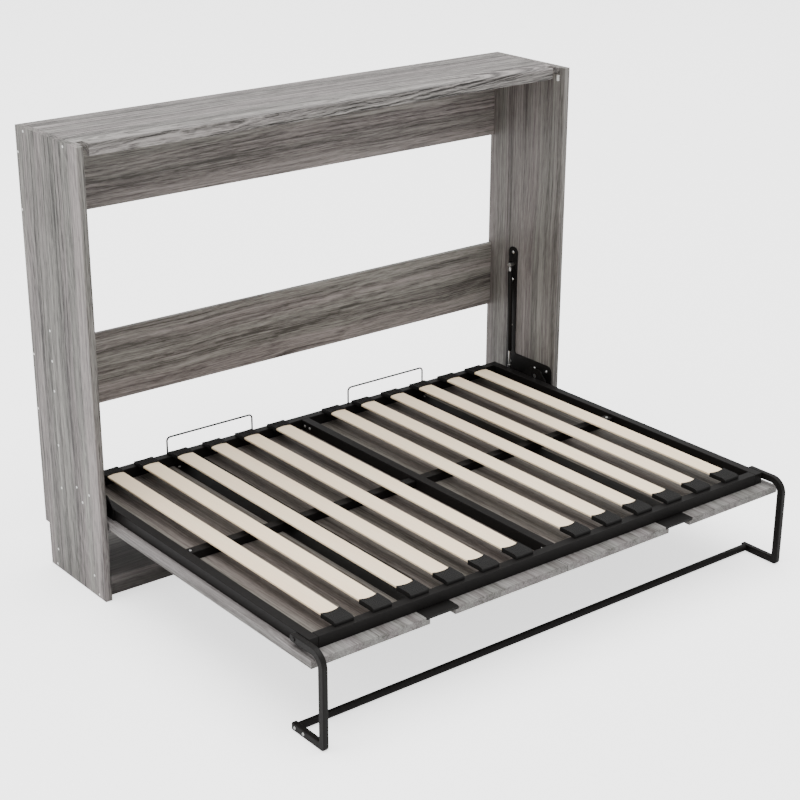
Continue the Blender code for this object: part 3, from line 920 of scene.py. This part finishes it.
class WALLBED_OT_slat_holders(WallBedOperator):
    """Ribbed caps on the front and back rails, one pair for each slat"""

    bl_idname = "wall_bed.slat_holders"
    bl_label = "Slat holders"

    def build(self, context):
        s = context.scene.wall_bed_slats
        boxes = [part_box(f"{label}_slat_{k + 1}") for label, _ in SIDES for k in range(s.count)]
        front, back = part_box("front_bed_rail"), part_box("back_bed_rail")
        seat = front[1].z
        centres = [(a.x + b.x) / 2 for a, b in boxes]
        for name, shape, y in (
            ("front_slat_caps", self.cap(s.holder_wide, 1, 0.016, 0.071), front[0].y),
            ("back_slat_caps", self.cap(s.holder_wide, -1, 0.013, 0.060), back[1].y),
        ):
            values = {"Shape": shape, "Material": holder_plastic()}
            mesh = baked(tree("spread"), [(x, y, seat) for x in centres], values)
            bpy.data.objects.remove(shape)
            piece_from_mesh(name, mesh, "bed", [holder_plastic()], angle=30.0)

    def as_object(self, name, bm):
        bmesh.ops.recalc_face_normals(bm, faces=bm.faces)
        mesh = bpy.data.meshes.new(name)
        bm.to_mesh(mesh)
        bm.free()
        thing = bpy.data.objects.new(name, mesh)
        bpy.context.scene.collection.objects.link(thing)
        return thing

    def cap(self, wide, facing, start, length):
        """A hood over the slat's end. Its ribbed top is dished, and its mouth is curved.

        It runs back from its nose at `start`, measured from the rail's outer face.
        """
        rise, dish, rib, nose, mouth = 0.0148, 0.0012, 0.0009, 0.0045, 0.0065
        steps, ribs, nose_part = 14, 27, 0.22
        seat = 0.0003  # clear of the rail
        bm = bmesh.new()
        half = wide / 2
        rows = []
        for j in range(ribs + 1):
            t = j / ribs
            row = []
            for i in range(steps + 1):
                u = 2 * i / steps - 1
                middle = 1 - u * u
                y = start + (length - mouth * middle * t) * t
                drop = nose * max(0.0, 1 - t / nose_part) ** 2
                z = rise - dish * middle - drop + (rib if j % 2 else 0.0)
                row.append(bm.verts.new((u * half, facing * y, z)))
            rows.append(row)
        for low, high in zip(rows, rows[1:]):
            for i in range(steps):
                bm.faces.new((low[i], low[i + 1], high[i + 1], high[i]))
        right, left = [row[-1] for row in rows[1:-1]], [row[0] for row in rows[1:-1]]
        rim = [*rows[0], *right, *reversed(rows[-1]), *reversed(left)]
        foot = [bm.verts.new((vert.co.x, vert.co.y, seat)) for vert in rim]
        for i in range(len(rim)):
            bm.faces.new((rim[i - 1], rim[i], foot[i], foot[i - 1]))
        bm.faces.new(foot)
        return self.as_object("cap_shape", bm)


class WALLBED_OT_screws(WallBedOperator):
    """Screw heads in the cabinet's sides, and bolts on the hinges, frame and foot"""

    bl_idname = "wall_bed.screws"
    bl_label = "Screws and bolts"

    def build(self, context):
        s = context.scene.wall_bed_hardware
        self.cabinet_heads(s)
        self.plate_bolts(s)
        self.frame_bolts(s)

    def heads(self, name, spots, radius, height, body, material, slot):
        """One head at each (place, facing) of `spots`."""
        values = {"Radius": radius, "Height": height, "Material": material}
        places, facings = zip(*spots)
        mesh = baked(tree("screws"), places, values, facings)
        piece_from_mesh(name, mesh, body, [material], angle=30.0)

    def cabinet_heads(self, s):
        """Heads in each side panel, as (distance behind the front, height).

        They hold the top, rails, shelf and kick boards, and the hinge plate.
        """
        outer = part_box("right_side_panel")[1].x
        top = [(0.348, 1.5375), (0.086, 1.5375)]
        rails = [(0.394, 1.463), (0.394, 1.272), (0.394, 0.773), (0.394, 0.577)]
        column = [(0.2635, z) for z in (0.891, 0.785, 0.679, 0.484, 0.327)]
        hinge = [(0.153, 0.369), (0.0695, 0.369), (0.1185, 0.3255)]
        low = [(0.323, 0.073), (0.069, 0.073), (0.336, 0.012), (0.043, 0.012)]
        spots = [
            ((side * outer, FRONT + y, z), (side, 0.0, 0.0))
            for _, side in SIDES
            for y, z in top + rails + column + hinge + low
        ]
        self.heads(
            "side_screw_heads", spots, s.cap_radius, 0.0005, "cabinet", white_cap(), "white_plastic"
        )

    def plate_bolts(self, s):
        spots = []
        for label, side in SIDES:
            low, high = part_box(f"{label}_hinge_plate")
            face = low.x if side > 0 else high.x
            column = [(0.250, z) for z in (0.790, 0.679, 0.490, 0.335)]
            foot = [(0.106, 0.345), (0.037, 0.350)]
            spots += [((face, FRONT + y, z), (-side, 0.0, 0.0)) for y, z in column + foot]
        self.heads(
            "hinge_plate_bolts", spots, s.plate_bolt_radius, 0.0028, "cabinet", zinc(),
            "bright_steel",
        )

    def frame_bolts(self, s):
        spots, feet = [], []
        for label, side in SIDES:
            low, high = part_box(f"{label}_foot_leg")
            face = low.x if side < 0 else high.x
            for y in (-1.047, -1.090):
                feet.append(((face, FRONT + y, 0.0125), (side, 0.0, 0.0)))
            plank_low, plank_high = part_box(f"{label}_joining_plank")
            inset = 0.012
            for x in (plank_low.x + inset, plank_high.x - inset):
                spots.append(((x, FRONT + 0.262, plank_high.z), (0.0, 0.0, 1.0)))
            rail_low, rail_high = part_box(f"{label}_bed_rail")
            inner = rail_low.x if side > 0 else rail_high.x
            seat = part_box(f"{label}_mid_rail")[1].z
            spots.append(((inner - side * 0.016, FRONT - 0.3835, seat), (0.0, 0.0, 1.0)))
        beam_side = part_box("centre_bed_beam")[0].x
        for y in (0.255, 0.225, -1.045):
            spots.append(((beam_side, FRONT + y, 0.303), (-1.0, 0.0, 0.0)))
        for name, places, body in (
            ("frame_bolt_heads", spots, "bed"), ("foot_bolt_heads", feet, "foot_frame")
        ):
            self.heads(name, places, s.bolt_radius, 0.0022, body, zinc(), "bright_steel")


class WALLBED_OT_gas_struts(WallBedOperator):
    """Black gas struts with bright ends, between the hinge plates and the bed"""

    bl_idname = "wall_bed.gas_struts"
    bl_label = "Gas struts"

    def build(self, context):
        for label, _ in SIDES:
            top, foot = (self.middle(f"{label}_strut_{end}_stud") for end in ("top", "foot"))
            top.x = foot.x = self.middle(f"{label}_strut_rod").x
            self.strut(label, top, foot)

    def middle(self, node):
        low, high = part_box(node)
        return (low + high) / 2

    def strut(self, label, top, foot):
        up = (top - foot).normalized()
        tilt = up.to_track_quat("Z", "X").to_matrix().to_4x4()
        place = Matrix.Translation(top) @ tilt
        cross = Matrix.Rotation(math.pi / 2, 4, "Y")
        ferrule, rod = 0.0062, 0.0045  # radii
        bm = bmesh.new()
        turned(bm, [
            (0.0048, -0.3555), (0.0085, -0.3555), (0.009, -0.3545), (0.009, -0.0285),
            (0.0084, -0.0262), (0.0050, -0.0255), (0.0048, -0.0262),
        ], place)
        to_piece(
            f"{label}_gas_cylinder", bm, f"{label}_strut_cylinder_body", [black_metal()],
            [f"{label}_strut_cylinder"],
        )
        bm = bmesh.new()
        turned(bm, [
            (0.0030, -0.0255), (0.0055, -0.0254), (ferrule, -0.0245), (ferrule, -0.0125),
            (0.0045, -0.0095), (0.0030, -0.009),
        ], place)
        self.eye(bm, Matrix.Translation(top) @ cross)
        to_piece(
            f"{label}_gas_cylinder_end", bm, f"{label}_strut_cylinder_body", [zinc()],
        )
        end = -(top - foot).length
        bm = bmesh.new()
        turned(bm, [
            (0.0030, end + 0.009), (0.0046, end + 0.0095), (ferrule, end + 0.013),
            (ferrule, end + 0.024), (rod, end + 0.0255), (rod, -0.1010), (0.0040, -0.1005),
        ], place)
        self.eye(bm, Matrix.Translation(foot) @ cross)
        to_piece(
            f"{label}_gas_rod", bm, f"{label}_strut_rod_body", [zinc()],
            [f"{label}_strut_rod"],
        )

    def eye(self, bm, place):
        """A ring about X, with its bore open."""
        half, outer, hole, chamfer = 0.0060, 0.0083, 0.0044, 0.0008
        profile = [
            (hole, -half), (outer - chamfer, -half), (outer, -half + chamfer),
            (outer, half - chamfer), (outer - chamfer, half), (hole, half),
        ]
        segments = 28
        rings = []
        for k in range(segments):
            angle = 2 * math.pi * k / segments
            turn = place @ Matrix.Rotation(angle, 4, "Z")
            rings.append([turn @ Vector((radius, 0.0, height)) for radius, height in profile])
        made = loft(bm, rings, close_ends=False)
        last, first = made[-1], made[0]
        for i in range(len(first)):
            j = (i + 1) % len(first)
            bm.faces.new((last[i], last[j], first[j], first[i]))


OPERATORS = (
    WALLBED_OT_stage,
    WALLBED_OT_cabinet,
    WALLBED_OT_face_boards,
    WALLBED_OT_frame,
    WALLBED_OT_foot_frame,
    WALLBED_OT_slats,
    WALLBED_OT_slat_holders,
    WALLBED_OT_gas_struts,
    WALLBED_OT_screws,
)
SETTINGS = {
    "wall_bed_boards": WallBedBoards,
    "wall_bed_hardware": WallBedHardware,
    "wall_bed_slats": WallBedSlats,
    "wall_bed_stage": WallBedStage,
}


class WALLBED_PT_panel(bpy.types.Panel):
    """Sizes, colours and the steps that build the bed"""

    bl_idname = "WALLBED_PT_panel"
    bl_label = "Wall bed"
    bl_space_type = "VIEW_3D"
    bl_region_type = "UI"
    bl_category = "Wall bed"

    def draw(self, context):
        for name, settings in SETTINGS.items():
            box = self.layout.box()
            for prop in settings.__annotations__:
                box.prop(getattr(context.scene, name), prop)
        for operator in OPERATORS:
            self.layout.operator(operator.bl_idname)


CLASSES = (*SETTINGS.values(), *OPERATORS, WALLBED_PT_panel)


def register():
    for made in CLASSES:
        bpy.utils.register_class(made)
    for name, settings in SETTINGS.items():
        setattr(bpy.types.Scene, name, PointerProperty(type=settings))


def unregister():
    for name in SETTINGS:
        delattr(bpy.types.Scene, name)
    for made in reversed(CLASSES):
        bpy.utils.unregister_class(made)


def main():
    register()
    for operator in OPERATORS:
        group_name, call = operator.bl_idname.split(".")
        getattr(getattr(bpy.ops, group_name), call)()


if __name__ == "__main__":
    main()
